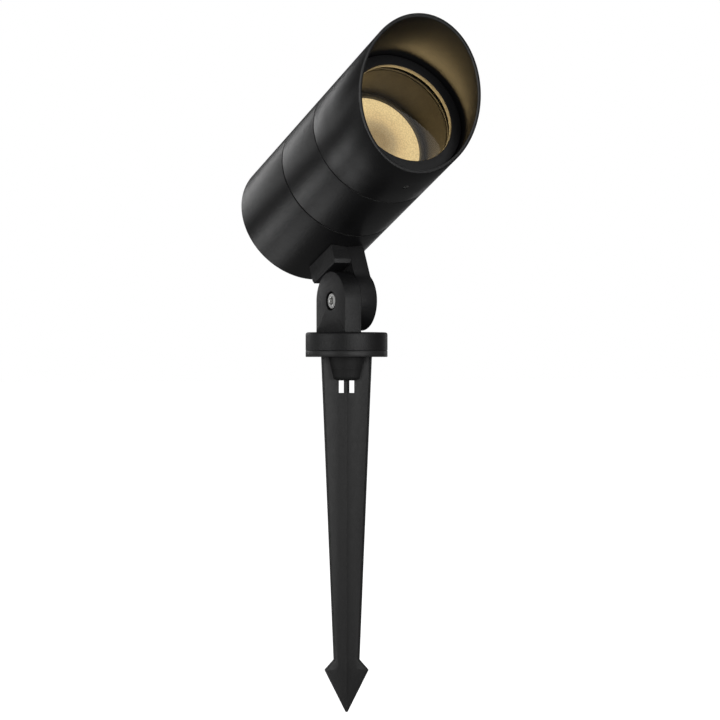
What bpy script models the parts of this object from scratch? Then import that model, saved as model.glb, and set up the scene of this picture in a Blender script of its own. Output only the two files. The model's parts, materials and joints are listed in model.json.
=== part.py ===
"""A garden spotlight on a ground spike: ribbed spike, round base with a post, two-plate knuckle
joint and a turned aluminium head with a slant-cut cowl. The row's origin is on the spike's axis
at the flange's underside, the ground line. The beam points to -Y and the hinge lies along X.
"""

from math import asin, cos, degrees, pi, radians, sin, sqrt, tan

import bmesh
import bpy
from mathutils import Matrix, Vector

MM = 0.001  # the sizes below are in millimetres, the meshes in metres
GAP = 0.3  # kept between pieces that rest on each other

BIG_SIDES = 40
RING_SIDES = 32
MID_SIDES = 24
SMALL_SIDES = 12

# Spike, from the flange's underside at height 0 down to the tip
FLANGE_RADIUS = 22.85
FLANGE_TOP = 3.55
RIB_ANGLES = (radians(60), radians(180), radians(300))
RIB_SECTIONS = (  # height, reach from the axis, half thickness
    (2.0, 15.7, 1.4),
    (-168.2, 7.8, 1.3),
    (-173.6, 13.7, 1.2),
    (-197.8, 0.5, 0.4),
)
BOSS_TOP_RADIUS = 12.2
BOSS_FOOT_RADIUS = 9.5
BOSS_DEPTH = 12.8
BOSS_ROUND = 2.4
SOCKET_RADIUS = 8.7
SOCKET_DEPTH = 8.5
CABLE_HOLE_RADIUS = 3.9
WINDOW_TOP = 13.1
WINDOW_HEIGHT = 6.9
WINDOW_START = 0.95
WINDOW_REACH = 5.7

# Base disc, the stud under it and the gasket between it and the spike
DISC_TOP = 13.7
DISC_EDGE = 1.4
GASKET_ROOM_RADIUS = 19.5
GASKET_ROOM_DEPTH = 1.5
STUD_RADIUS = 6.0
STUD_BORE_RADIUS = 3.6
STUD_HOLE_TOP = 11.0

# Knuckle: two plates side by side, which meet at x = 0
PLATE_THICKNESS = 10.3
PLATE_RADIUS = 16.4
HINGE_HEIGHT = 31.1
NECK_HALF = 14.0
NOTCH_REACH = 17.3  # from the hinge to the bracket's step over the post
NOTCH_CHAMFER_IN = 1.0
NOTCH_CHAMFER_UP = 1.9
COUNTERBORE_RADIUS = 5.2
SCREW_HEAD_FLOOR = -3.4  # x of the counterbore's floor in the post
NUT_FLOOR = 5.3  # x of the counterbore's floor in the bracket
SHANK_HOLE_RADIUS = 2.8
FRICTION_ROOM_RADIUS = 8.5
FRICTION_ROOM_DEPTH = 1.35
SEAL_RING_RADIUS = 13.5
SEAL_RING_HALF = 0.75
WIRE_RING_INNER = 8.7
WIRE_RING_OUTER = 11.3
WIRE_RING_DEPTH = 5.0
WIRE_HOLE_RADIUS = 1.6
WIRE_OFFSET = 10.45  # from the hinge to the wire hole's mouth in the post

# Head, along its own axis from the foot of the hinge's perpendicular
BEAM_LIFT = radians(25)
AXIS_REACH = 65.0  # from the hinge to the head's axis
HEAD_RADIUS = 38.0
SEAM_CHAMFER = 0.3
REAR_END = -28.0
REAR_ROUND = 1.5
REAR_WALL = 4.0
HOUSING_WALL = 3.0
REAR_SEAM = 26.6
FRONT_SEAM = 65.9
BULKHEAD_REAR = 44.0
BULKHEAD_FRONT = 50.0
SPIGOT_REAR = 16.0
SPIGOT_RADIUS = 34.5
LAMP_SOCKET_RADIUS = 33.4
LAMP_SOCKET_FLOOR = 56.0
BARREL_RADIUS = 35.6
BARREL_FRONT = 96.1
BARREL_BORE = 29.8
GLASS_RADIUS = 33.0
GLASS_SEAT = 90.3
GLASS_REAR = 91.9
GLASS_FRONT = 94.9
BEZEL_FRONT = 97.9
BEZEL_BORE = 29.6
LENS_RADIUS = 27.0
LENS_REAR = 53.2
LENS_RIM_REAR = 64.3
LENS_RIM_FRONT = 67.2
LENS_DOME = 1.0
BOARD_RADIUS = 25.5
BOARD_REAR = 51.1
BOARD_FRONT = 52.7

# Cowl
COWL_BORE = 36.0
COWL_CUT = 118.1  # where the slant cut crosses the axis
COWL_CUT_TILT = radians(27.1)
GRUB_STATION = 83.6
GRUB_RADIUS = 1.6

POWDER_BLACK = ((0.022, 0.022, 0.023), 0.42, 0.6)
NYLON_BLACK = ((0.028, 0.028, 0.028), 0.5, 0.0)
STAINLESS = ((0.60, 0.60, 0.60), 0.28, 1.0)
BRASS = ((0.60, 0.44, 0.18), 0.3, 1.0)
RUBBER = ((0.015, 0.015, 0.015), 0.8, 0.0)
FIBRE = ((0.30, 0.27, 0.22), 0.7, 0.0)
CLEAR = ((0.85, 0.88, 0.87), 0.03, 0.0)
LENS_WHITE = ((0.95, 0.86, 0.66), 0.15, 0.0)
BOARD_WHITE = ((0.78, 0.78, 0.76), 0.4, 0.0)
EMITTER_YELLOW = ((0.85, 0.68, 0.12), 0.4, 0.0)
DRIVER_GREY = ((0.55, 0.56, 0.57), 0.5, 0.0)
PAD_BLUE = ((0.22, 0.35, 0.55), 0.8, 0.0)
LEAD_RED = ((0.45, 0.03, 0.03), 0.5, 0.0)
LEAD_BLACK = ((0.02, 0.02, 0.02), 0.5, 0.0)


def pivot(name, parent=None, place=(0, 0, 0), tilt=0.0):
    """An empty that a moving body's pieces hang on. Tilt turns it about X."""
    empty = bpy.data.objects.new(name, None)
    bpy.context.collection.objects.link(empty)
    empty.parent = parent
    empty.location = Vector(place) * MM
    empty.rotation_euler = (tilt, 0, 0)
    return empty


def add_piece(name, shape, finish, on, place=(0, 0, 0), turn=(0, 0, 0)):
    """Put a bmesh, made in millimetres, into a named object with its own material."""
    bmesh.ops.recalc_face_normals(shape, faces=shape.faces)
    bmesh.ops.scale(shape, vec=(MM, MM, MM), verts=shape.verts)
    mesh = bpy.data.meshes.new(name)
    shape.to_mesh(mesh)
    shape.free()
    mesh.shade_smooth()
    mesh.set_sharp_from_angle(angle=radians(30))
    piece = bpy.data.objects.new(name, mesh)
    bpy.context.collection.objects.link(piece)
    piece.parent = on
    piece.location = Vector(place) * MM
    piece.rotation_euler = turn
    if finish:
        colour, roughness, metallic = finish
        material = bpy.data.materials.new(name)
        material.use_nodes = True
        shader = material.node_tree.nodes["Principled BSDF"]
        shader.inputs["Base Color"].default_value = (*colour, 1)
        shader.inputs["Roughness"].default_value = roughness
        shader.inputs["Metallic"].default_value = metallic
        mesh.materials.append(material)
    return piece


def combine(piece, shapes, operation):
    """Join shapes to a piece or cut them from it, each with an exact Boolean modifier."""
    for number, shape in enumerate(shapes, 1):
        name = f"{piece.name}.{operation.lower()}_{number}"
        tool = add_piece(name, shape, None, piece)
        tool.hide_render = True
        tool.display_type = "WIRE"
        boolean = piece.modifiers.new(tool.name, "BOOLEAN")
        boolean.operation = operation
        boolean.solver = "EXACT"
        boolean.object = tool


def lathe(outline, sides, axis=Matrix.Identity(4)):
    """Turn an outline of (radius, height) points about Z, then stand it on another axis.

    An outline whose ends are both at radius 0 makes a solid with flat ends, any other a closed
    ring. It may be a function of the angle, for a turned piece with a slanting end.
    """
    outline_at = outline if callable(outline) else lambda angle: outline
    solid = outline_at(0)[0][0] == 0
    shape = bmesh.new()
    columns = []
    for side in range(sides):
        angle = 2 * pi * side / sides
        points = outline_at(angle)[1:-1] if solid else outline_at(angle)
        column = [shape.verts.new((r * cos(angle), r * sin(angle), z)) for r, z in points]
        columns.append(column)
    steps = range(0 if solid else -1, len(columns[0]) - 1)
    for column, after in zip(columns, columns[1:] + columns[:1]):
        for step in steps:
            shape.faces.new((column[step], column[step + 1], after[step + 1], after[step]))
    if solid:
        for end in (0, -1):
            shape.faces.new([column[end] for column in columns])
    shape.transform(axis)
    return shape


def prism(outline, low, high, axis="Z"):
    """Extrude a flat outline. Its points are (y, z) along X, or (x, y) along Z."""
    shape = bmesh.new()

    def corner(point, along):
        return (along, *point) if axis == "X" else (*point, along)

    near = [shape.verts.new(corner(point, low)) for point in outline]
    far = [shape.verts.new(corner(point, high)) for point in outline]
    shape.faces.new(near)
    shape.faces.new(far)
    for index in range(len(outline)):
        after = (index + 1) % len(outline)
        shape.faces.new((near[index], near[after], far[after], far[index]))
    return shape


def box(low, high):
    outline = [(low[0], low[1]), (high[0], low[1]), (high[0], high[1]), (low[0], high[1])]
    return prism(outline, low[2], high[2])


def arc(centre, radius, start, end, steps):
    """Points along a circle's arc, angles in degrees from the first coordinate's axis."""
    angles = [radians(start + (end - start) * step / steps) for step in range(steps + 1)]
    return [(centre[0] + radius * cos(a), centre[1] + radius * sin(a)) for a in angles]


def along(start, end):
    """The matrix that lays Z, from 0 to 1 mm and up, on the line from start towards end."""
    start, end = Vector(start), Vector(end)
    turn = (end - start).to_track_quat("Z", "Y").to_matrix().to_4x4()
    return Matrix.Translation(start) @ turn


def rod(start, end, radius, sides=SMALL_SIDES):
    """A round bar between two points, to drill a hole with."""
    length = (Vector(end) - Vector(start)).length
    return lathe([(0, 0), (radius, 0), (radius, length), (0, length)], sides, along(start, end))


def disc(radius, low, high):
    """The outline of a flat round piece, to turn."""
    return [(0, low), (radius, low), (radius, high), (0, high)]


def ring(inner, outer, low, high, sides, axis=Matrix.Identity(4)):
    return lathe([(inner, low), (outer, low), (outer, high), (inner, high)], sides, axis)


def round_ring(radius, half, height, sides, axis=Matrix.Identity(4)):
    """An O-ring: a small circle turned about the axis."""
    around = 6
    outline = arc((radius, height), half, 0, 360 * (around - 1) / around, around - 1)
    return lathe(outline, sides, axis)


TO_HINGE = along((0, 0, 0), (1, 0, 0))  # a turned shape's axis laid along the hinge, +Z to +X


def hex_prism(across_flats, low, high):
    corner = across_flats / sqrt(3)
    return prism(arc((0, 0), corner, 0, 300, 5), low, high)


def socket_screw(name, on, place, turn, head, shank, flats, finish=STAINLESS):
    """A cap screw with its head on +Z, its shank on -Z, and the head's underside at 0."""
    head_radius, head_height = head
    shank_radius, shank_length = shank
    outline = [
        (0, head_height),
        (head_radius, head_height),
        (head_radius, 0),
        (shank_radius, 0),
        (shank_radius, -shank_length),
        (0, -shank_length),
    ]
    screw = add_piece(name, lathe(outline, SMALL_SIDES), finish, on, place, turn)
    combine(screw, [hex_prism(flats, 0.45 * head_height, head_height + 1)], "DIFFERENCE")


def rib():
    """One rib of the spike, from the axis along +X: flat sides, a barb and a pointed end."""
    past_axis = -0.4
    shape = bmesh.new()
    sections = []
    for height, reach, half in RIB_SECTIONS:
        corners = [(past_axis, -half), (reach, -half), (reach, half), (past_axis, half)]
        sections.append([shape.verts.new((*corner, height)) for corner in corners])
    shape.faces.new(sections[0])
    shape.faces.new(sections[-1])
    for upper, lower in zip(sections, sections[1:]):
        for index in range(4):
            after = (index + 1) % 4
            shape.faces.new((upper[index], upper[after], lower[after], lower[index]))
    return shape


def turned_about_z(shape, angle):
    turn = Matrix.Rotation(angle, 3, "Z")
    bmesh.ops.rotate(shape, cent=(0, 0, 0), matrix=turn, verts=shape.verts)
    return shape


def make_spike(body):
    """The moulded spike: flange, tapered boss and three ribs that end in barbs and a point.

    The boss holds the insert, and a window through each rib lets a cable out below it.
    """
    edge = 0.3
    outline = [
        (0, FLANGE_TOP),
        (FLANGE_RADIUS - edge, FLANGE_TOP),
        (FLANGE_RADIUS, FLANGE_TOP - edge),
        (FLANGE_RADIUS, edge),
        (FLANGE_RADIUS - edge, 0),
        (BOSS_TOP_RADIUS, 0),
    ]
    outline += arc((BOSS_FOOT_RADIUS - BOSS_ROUND, BOSS_ROUND - BOSS_DEPTH), BOSS_ROUND, 0, -90, 3)
    outline.append((0, -BOSS_DEPTH))
    spike = add_piece("spike", lathe(outline, BIG_SIDES), NYLON_BLACK, body)
    combine(spike, [turned_about_z(rib(), angle) for angle in RIB_ANGLES], "UNION")

    above = FLANGE_TOP + 1
    socket = [
        (0, above),
        (SOCKET_RADIUS, above),
        (SOCKET_RADIUS, -SOCKET_DEPTH),
        (CABLE_HOLE_RADIUS, -SOCKET_DEPTH),
        (CABLE_HOLE_RADIUS, -WINDOW_TOP - 0.5),
        (0, -WINDOW_TOP - 0.5),
    ]
    cuts = [lathe(socket, MID_SIDES)]
    window_floor = -WINDOW_TOP - WINDOW_HEIGHT
    past_rib = 2.5
    for angle in RIB_ANGLES:
        window = box(
            (WINDOW_START, -past_rib, window_floor), (WINDOW_REACH, past_rib, -WINDOW_TOP)
        )
        cuts.append(turned_about_z(window, angle))
    combine(spike, cuts, "DIFFERENCE")

    insert = ring(
        STUD_RADIUS + GAP, SOCKET_RADIUS - GAP, GAP - SOCKET_DEPTH, FLANGE_TOP - GAP, MID_SIDES
    )
    add_piece("spike_insert", insert, BRASS, body)
    grommet_bore = 2.6
    grommet = ring(
        grommet_bore, CABLE_HOLE_RADIUS - GAP, GAP - BOSS_DEPTH, -SOCKET_DEPTH - GAP, SMALL_SIDES
    )
    add_piece("cable_grommet", grommet, RUBBER, body)


def make_base(body):
    """The round base: disc, post, their two screws, the hollow stud and the flat gasket."""
    disc_foot = FLANGE_TOP + GAP
    room_top = disc_foot + GASKET_ROOM_DEPTH
    edge = 0.2
    outline = [(0, DISC_TOP)]
    outline += arc((FLANGE_RADIUS - DISC_EDGE, DISC_TOP - DISC_EDGE), DISC_EDGE, 90, 0, 4)
    outline += [
        (FLANGE_RADIUS, disc_foot + edge),
        (FLANGE_RADIUS - edge, disc_foot),
        (GASKET_ROOM_RADIUS, disc_foot),
        (GASKET_ROOM_RADIUS, room_top),
        (STUD_RADIUS + GAP, room_top),
        (STUD_RADIUS + GAP, STUD_HOLE_TOP),
        (0, STUD_HOLE_TOP),
    ]
    disc = add_piece("base_disc", lathe(outline, BIG_SIDES), POWDER_BLACK, body)

    middle = -PLATE_THICKNESS / 2
    screw_offset = 11.0
    screw_head = (3.5, 2.4)
    screw_shank = (2.0, 12.5)
    head_room = 3.9
    head_floor = room_top + 3.0
    shank_room = 2.3
    wire_x = -3.4
    cuts = [rod((wire_x, 0, STUD_HOLE_TOP - 0.5), (wire_x, 0, DISC_TOP + 1), WIRE_HOLE_RADIUS)]
    for way in (-1, 1):
        spot = (middle, way * screw_offset)
        cuts.append(rod((*spot, disc_foot), (*spot, head_floor), head_room))
        cuts.append(rod((*spot, head_floor - 1), (*spot, DISC_TOP + 1), shank_room))
    combine(disc, cuts, "DIFFERENCE")

    post_foot = DISC_TOP + GAP
    outline = [(PLATE_RADIUS, post_foot)]
    outline += arc((0, HINGE_HEIGHT), PLATE_RADIUS, 0, 180, 20)
    outline.append((-PLATE_RADIUS, post_foot))
    post = add_piece(
        "base_post", prism(outline, -PLATE_THICKNESS, -GAP / 2, "X"), POWDER_BLACK, body
    )
    hinge = Matrix.Translation((0, 0, HINGE_HEIGHT)) @ TO_HINGE
    friction_floor = -GAP / 2 - FRICTION_ROOM_DEPTH
    past = 1.0
    bore = [
        (0, -PLATE_THICKNESS - past),
        (COUNTERBORE_RADIUS, -PLATE_THICKNESS - past),
        (COUNTERBORE_RADIUS, SCREW_HEAD_FLOOR),
        (SHANK_HOLE_RADIUS, SCREW_HEAD_FLOOR),
        (SHANK_HOLE_RADIUS, friction_floor),
        (FRICTION_ROOM_RADIUS, friction_floor),
        (FRICTION_ROOM_RADIUS, past),
        (0, past),
    ]
    seal_half = SEAL_RING_HALF + GAP
    seal_floor = -GAP / 2 - 2 * SEAL_RING_HALF - GAP
    groove_inner = SEAL_RING_RADIUS - seal_half
    groove_outer = SEAL_RING_RADIUS + seal_half
    rise_x = wire_x - 0.6
    turn_x = rise_x - 1.2
    turn_height = HINGE_HEIGHT - 1.1
    wire_rise = ((rise_x, 0, post_foot - 1), (rise_x, WIRE_OFFSET, turn_height))
    wire_mouth = ((turn_x, WIRE_OFFSET, turn_height), (past, WIRE_OFFSET, turn_height))
    cuts = [
        lathe(bore, MID_SIDES, hinge),
        ring(groove_inner, groove_outer, seal_floor, past, MID_SIDES, hinge),
        rod(*wire_rise, WIRE_HOLE_RADIUS),
        rod(*wire_mouth, WIRE_HOLE_RADIUS),
    ]
    past_shank = 0.8
    shank_end = head_floor - GAP + screw_shank[1] + past_shank
    for way in (-1, 1):
        spot = (middle, way * screw_offset)
        cuts.append(rod((*spot, post_foot - 1), (*spot, shank_end), shank_room))
    combine(post, cuts, "DIFFERENCE")

    for side, way in (("front", -1), ("rear", 1)):
        place = (middle, way * screw_offset, head_floor - GAP)
        socket_screw(f"post_screw_{side}", body, place, (pi, 0, 0), screw_head, screw_shank, 2.5)

    stud = ring(STUD_BORE_RADIUS, STUD_RADIUS, GAP - SOCKET_DEPTH, STUD_HOLE_TOP - GAP, MID_SIDES)
    add_piece("base_stud", stud, BRASS, body)
    gasket_bore = 8.5
    gasket = ring(gasket_bore, GASKET_ROOM_RADIUS - GAP, disc_foot, room_top - GAP, MID_SIDES)
    add_piece("base_gasket", gasket, RUBBER, body)


def make_hinge(base_body, head_body):
    """What clamps the two plates: cap screw, washer, nut, friction disc and sealing ring."""
    hinge = Matrix.Translation((0, 0, HINGE_HEIGHT)) @ TO_HINGE
    washer_bore, washer_radius, washer_thickness = 2.7, 4.9, 0.8
    washer_face = SCREW_HEAD_FLOOR - GAP
    under_washer = washer_face - washer_thickness
    washer = ring(washer_bore, washer_radius, under_washer, washer_face, SMALL_SIDES, hinge)
    add_piece("hinge_washer", washer, STAINLESS, base_body)
    under_head = under_washer - GAP
    shank_end = 9.2
    head = (4.3, 5.0)
    shank = (2.45, shank_end - under_head)
    place = (under_head, 0, HINGE_HEIGHT)
    socket_screw("hinge_screw", base_body, place, (0, -pi / 2, 0), head, shank, 4.0)

    face = -GAP / 2
    disc_bore, disc_thickness = 3.2, 1.05
    disc_radius = FRICTION_ROOM_RADIUS - GAP
    friction = ring(disc_bore, disc_radius, face - disc_thickness, face, MID_SIDES, hinge)
    add_piece("friction_disc", friction, FIBRE, base_body)
    seal_height = face - SEAL_RING_HALF
    seal = round_ring(SEAL_RING_RADIUS, SEAL_RING_HALF, seal_height, RING_SIDES, hinge)
    add_piece("knuckle_seal", seal, RUBBER, base_body)

    nut_flats, nut_height, nut_bore = 8.0, 4.0, 2.7
    nut_foot = NUT_FLOOR + GAP
    shape = hex_prism(nut_flats, nut_foot, nut_foot + nut_height)
    nut = add_piece("hinge_nut", shape, STAINLESS, head_body, turn=(0, pi / 2, 0))
    combine(nut, [lathe(disc(nut_bore, 0, PLATE_THICKNESS), SMALL_SIDES)], "DIFFERENCE")


def make_bracket(body):
    """The head's bracket: a saddle on the housing, stepped over the post to half its width.

    In the head's frame Y runs from the hinge to the head's axis, and Z along the beam.
    """
    buried = 30.0
    neck_angle = degrees(asin(NECK_HALF / PLATE_RADIUS))
    outline = arc((0, 0), PLATE_RADIUS, neck_angle, 360 - neck_angle, 24)
    outline += [(buried, -NECK_HALF), (buried, NECK_HALF)]
    bracket = add_piece(
        "head_bracket", prism(outline, GAP / 2, PLATE_THICKNESS, "X"), POWDER_BLACK, body
    )
    step = [
        (buried, NECK_HALF),
        (NOTCH_REACH + NOTCH_CHAMFER_UP, NECK_HALF),
        (NOTCH_REACH, NECK_HALF - NOTCH_CHAMFER_IN),
        (NOTCH_REACH, NOTCH_CHAMFER_IN - NECK_HALF),
        (NOTCH_REACH + NOTCH_CHAMFER_UP, -NECK_HALF),
        (buried, -NECK_HALF),
    ]
    combine(bracket, [prism(step, -PLATE_THICKNESS, PLATE_THICKNESS / 2, "X")], "UNION")

    past = 1.0
    bore = [
        (0, -past),
        (SHANK_HOLE_RADIUS, -past),
        (SHANK_HOLE_RADIUS, NUT_FLOOR),
        (COUNTERBORE_RADIUS, NUT_FLOOR),
        (COUNTERBORE_RADIUS, PLATE_THICKNESS + past),
        (0, PLATE_THICKNESS + past),
    ]
    saddle = HEAD_RADIUS + GAP
    saddle_height = AXIS_REACH - saddle
    past_housing = 40.0
    wire_x = 3.6
    seal_room, seal_depth = 3.6, 2.0
    seal_floor = saddle_height - seal_depth
    cuts = [
        rod((0, AXIS_REACH, -past_housing), (0, AXIS_REACH, past_housing), saddle, BIG_SIDES),
        lathe(bore, MID_SIDES, TO_HINGE),
        ring(WIRE_RING_INNER, WIRE_RING_OUTER, -past, WIRE_RING_DEPTH, MID_SIDES, TO_HINGE),
        rod((wire_x, WIRE_RING_INNER + past, 0), (wire_x, buried, 0), WIRE_HOLE_RADIUS),
        rod((wire_x, seal_floor, 0), (wire_x, buried, 0), seal_room),
    ]
    screw_offset = 9.5
    screw_hole, screw_hole_depth = 2.3, 8.2
    for way in (-1, 1):
        spot_z = way * screw_offset
        foot = (0, saddle_height - screw_hole_depth, spot_z)
        cuts.append(rod(foot, (0, buried, spot_z), screw_hole))
    combine(bracket, cuts, "DIFFERENCE")

    seal_bore, seal_thickness = 2.0, 1.0
    seal_foot = seal_floor + GAP
    seal = ring(seal_bore, seal_room - GAP, seal_foot, seal_foot + seal_thickness, SMALL_SIDES)
    seal.transform(Matrix.Translation((wire_x, 0, 0)) @ along((0, 0, 0), (0, 1, 0)))
    add_piece("bracket_seal", seal, RUBBER, body)
    over_bore = 0.6
    under_head = AXIS_REACH - HEAD_RADIUS + HOUSING_WALL + over_bore
    for side, way in (("rear", -1), ("front", 1)):
        place = (0, under_head, way * screw_offset)
        name = f"bracket_screw_{side}"
        socket_screw(name, body, place, (-pi / 2, 0, 0), (3.5, 2.4), (2.0, 11.5), 2.5)
    return wire_x, screw_offset


def make_rear_housing(body, wire_x, bracket_screw_offset):
    """The turned cup behind the rear seam, with the driver screwed to its end wall."""
    mouth = REAR_SEAM - GAP / 2
    bore = HEAD_RADIUS - HOUSING_WALL
    floor = REAR_END + REAR_WALL
    outline = [(0, REAR_END)]
    outline += arc((HEAD_RADIUS - REAR_ROUND, REAR_END + REAR_ROUND), REAR_ROUND, -90, 0, 3)
    outline += [
        (HEAD_RADIUS, mouth - SEAM_CHAMFER),
        (HEAD_RADIUS - SEAM_CHAMFER, mouth),
        (bore, mouth),
        (bore, floor),
        (0, floor),
    ]
    housing = add_piece("rear_housing", lathe(outline, BIG_SIDES), POWDER_BLACK, body)
    outside = -HEAD_RADIUS - 1
    inside = -bore + 2
    wire_hole, screw_hole, ear_hole = 2.2, 2.4, 1.8
    cuts = [rod((wire_x, outside, 0), (wire_x, inside, 0), wire_hole)]
    for way in (-1, 1):
        spot_z = way * bracket_screw_offset
        cuts.append(rod((0, outside, spot_z), (0, inside, spot_z), screw_hole))
    ear = 25.0
    for way in (-1, 1):
        cuts.append(rod((way * ear, 0, floor - 3), (way * ear, 0, floor + 1), ear_hole))
    combine(housing, cuts, "DIFFERENCE")

    base_thickness = 1.6
    case_rear = floor + GAP
    case_length = 30.0
    corner = 2.0
    half_width, half_height = 18.0, 13.0
    outline = [
        (half_width - corner, -half_height),
        (half_width, corner - half_height),
        (half_width, half_height - corner),
        (half_width - corner, half_height),
        (corner - half_width, half_height),
        (-half_width, half_height - corner),
        (-half_width, corner - half_height),
        (corner - half_width, -half_height),
    ]
    driver = add_piece(
        "driver_case", prism(outline, case_rear, case_rear + case_length), DRIVER_GREY, body
    )
    past_hole, ear_half = 4.0, 6.0
    foot_corner = (ear + past_hole, ear_half, case_rear + base_thickness)
    foot = box((-foot_corner[0], -foot_corner[1], case_rear), foot_corner)
    combine(driver, [foot], "UNION")
    holes = [
        rod((way * ear, 0, case_rear - 1), (way * ear, 0, case_rear + 3), ear_hole)
        for way in (-1, 1)
    ]
    combine(driver, holes, "DIFFERENCE")
    for number, way in enumerate((-1, 1), 1):
        place = (way * ear, 0, case_rear + base_thickness + GAP)
        socket_screw(f"driver_screw_{number}", body, place, (0, 0, 0), (2.8, 2.0), (1.5, 4.4), 2.0)
    return case_rear + case_length


def make_mid_body(body, driver_top):
    """The middle body: a heat-sink tube with a bulkhead that carries the LED board."""
    groove = (19.0, 21.4)
    groove_floor = SPIGOT_RADIUS - 1.5
    skirt_bore = 31.0
    board_room = 30.0
    rear = REAR_SEAM + GAP / 2
    front = FRONT_SEAM - GAP / 2
    outline = [
        (0, BULKHEAD_REAR),
        (skirt_bore, BULKHEAD_REAR),
        (skirt_bore, SPIGOT_REAR),
        (SPIGOT_RADIUS, SPIGOT_REAR),
        (SPIGOT_RADIUS, groove[0]),
        (groove_floor, groove[0]),
        (groove_floor, groove[1]),
        (SPIGOT_RADIUS, groove[1]),
        (SPIGOT_RADIUS, rear),
        (HEAD_RADIUS - SEAM_CHAMFER, rear),
        (HEAD_RADIUS, rear + SEAM_CHAMFER),
        (HEAD_RADIUS, front - SEAM_CHAMFER),
        (HEAD_RADIUS - SEAM_CHAMFER, front),
        (LAMP_SOCKET_RADIUS, front),
        (LAMP_SOCKET_RADIUS, LAMP_SOCKET_FLOOR),
        (board_room, LAMP_SOCKET_FLOOR),
        (board_room, BULKHEAD_FRONT),
        (0, BULKHEAD_FRONT),
    ]
    mid_body = add_piece("mid_body", lathe(outline, BIG_SIDES), POWDER_BLACK, body)
    ring_half = 0.7
    seal = round_ring(groove_floor + GAP + ring_half, ring_half, sum(groove) / 2, RING_SIDES)
    add_piece("rear_oring", seal, RUBBER, body)

    pad_radius = 24.0
    pad_rear = BULKHEAD_FRONT + GAP
    pad_front = BOARD_REAR - GAP
    shape = lathe(disc(pad_radius, pad_rear, pad_front), MID_SIDES)
    pad = add_piece("thermal_pad", shape, PAD_BLUE, body)
    shape = lathe(disc(BOARD_RADIUS, BOARD_REAR, BOARD_FRONT), MID_SIDES)
    board = add_piece("led_board", shape, BOARD_WHITE, body)
    lead_place = (0, 15.0)
    lead_hole, screw_hole, screw_hole_depth = 2.6, 1.8, 5.0
    screw_circle = 20.0
    screw_spots = [
        (screw_circle * cos(radians(angle)), screw_circle * sin(radians(angle)))
        for angle in (-30, 210, 90)
    ]
    for piece, low, high in (
        (mid_body, BULKHEAD_REAR - 1, BULKHEAD_FRONT + 1),
        (pad, pad_rear - 1, pad_front + 1),
        (board, BOARD_REAR - 1, BOARD_FRONT + 1),
    ):
        holes = [rod((*lead_place, low), (*lead_place, high), lead_hole)]
        screw_low = BULKHEAD_FRONT - screw_hole_depth if piece is mid_body else low
        holes += [rod((*spot, screw_low), (*spot, high), screw_hole) for spot in screw_spots]
        combine(piece, holes, "DIFFERENCE")
    for number, spot in enumerate(screw_spots, 1):
        place = (*spot, BOARD_FRONT + GAP)
        socket_screw(f"board_screw_{number}", body, place, (0, 0, 0), (2.4, 1.8), (1.5, 7.0), 2.0)

    emitter_foot = BOARD_FRONT + GAP
    base_radius, dome_radius = 5.0, 3.6
    emitter = [
        (0, emitter_foot),
        (base_radius, emitter_foot),
        (base_radius, emitter_foot + 0.6),
        (dome_radius, emitter_foot + 1.2),
        (0, emitter_foot + 1.2),
    ]
    add_piece("led_emitter", lathe(emitter, MID_SIDES), EMITTER_YELLOW, body)
    for side, way, colour in (("red", -1, LEAD_RED), ("black", 1, LEAD_BLACK)):
        make_lead(f"led_lead_{side}", body, way, driver_top, lead_place[1], colour)


def make_lead(name, body, way, start, hole_y, colour):
    """One insulated lead from the driver's end through the bulkhead to its solder pad."""
    radius = 0.7
    over_board = BOARD_FRONT + GAP + radius
    points = [
        (3.0 * way, 6.0, start + GAP),
        (3.0 * way, 6.0, start + 5.0),
        (2.2 * way, 9.5, start + 14.0),
        (1.3 * way, 14.2, start + 24.0),
        (1.2 * way, hole_y, BULKHEAD_REAR - 3.0),
        (1.2 * way, hole_y, BOARD_FRONT - 0.3),
        (1.2 * way, hole_y - 0.4, over_board - 0.4),
        (1.2 * way, hole_y - 1.3, over_board),
        (1.2 * way, hole_y - 4.0, over_board),
    ]
    curve = bpy.data.curves.new(name, "CURVE")
    curve.dimensions = "3D"
    curve.bevel_depth = radius * MM
    curve.bevel_resolution = 2
    curve.use_fill_caps = True
    spline = curve.splines.new("POLY")
    spline.points.add(len(points) - 1)
    for point, place in zip(spline.points, points):
        point.co = (*(Vector(place) * MM), 1)
    lead = bpy.data.objects.new(name, curve)
    bpy.context.collection.objects.link(lead)
    lead.parent = body
    material = bpy.data.materials.new(name)
    material.use_nodes = True
    shader = material.node_tree.nodes["Principled BSDF"]
    shader.inputs["Base Color"].default_value = (*colour[0], 1)
    shader.inputs["Roughness"].default_value = colour[1]
    curve.materials.append(material)


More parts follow.
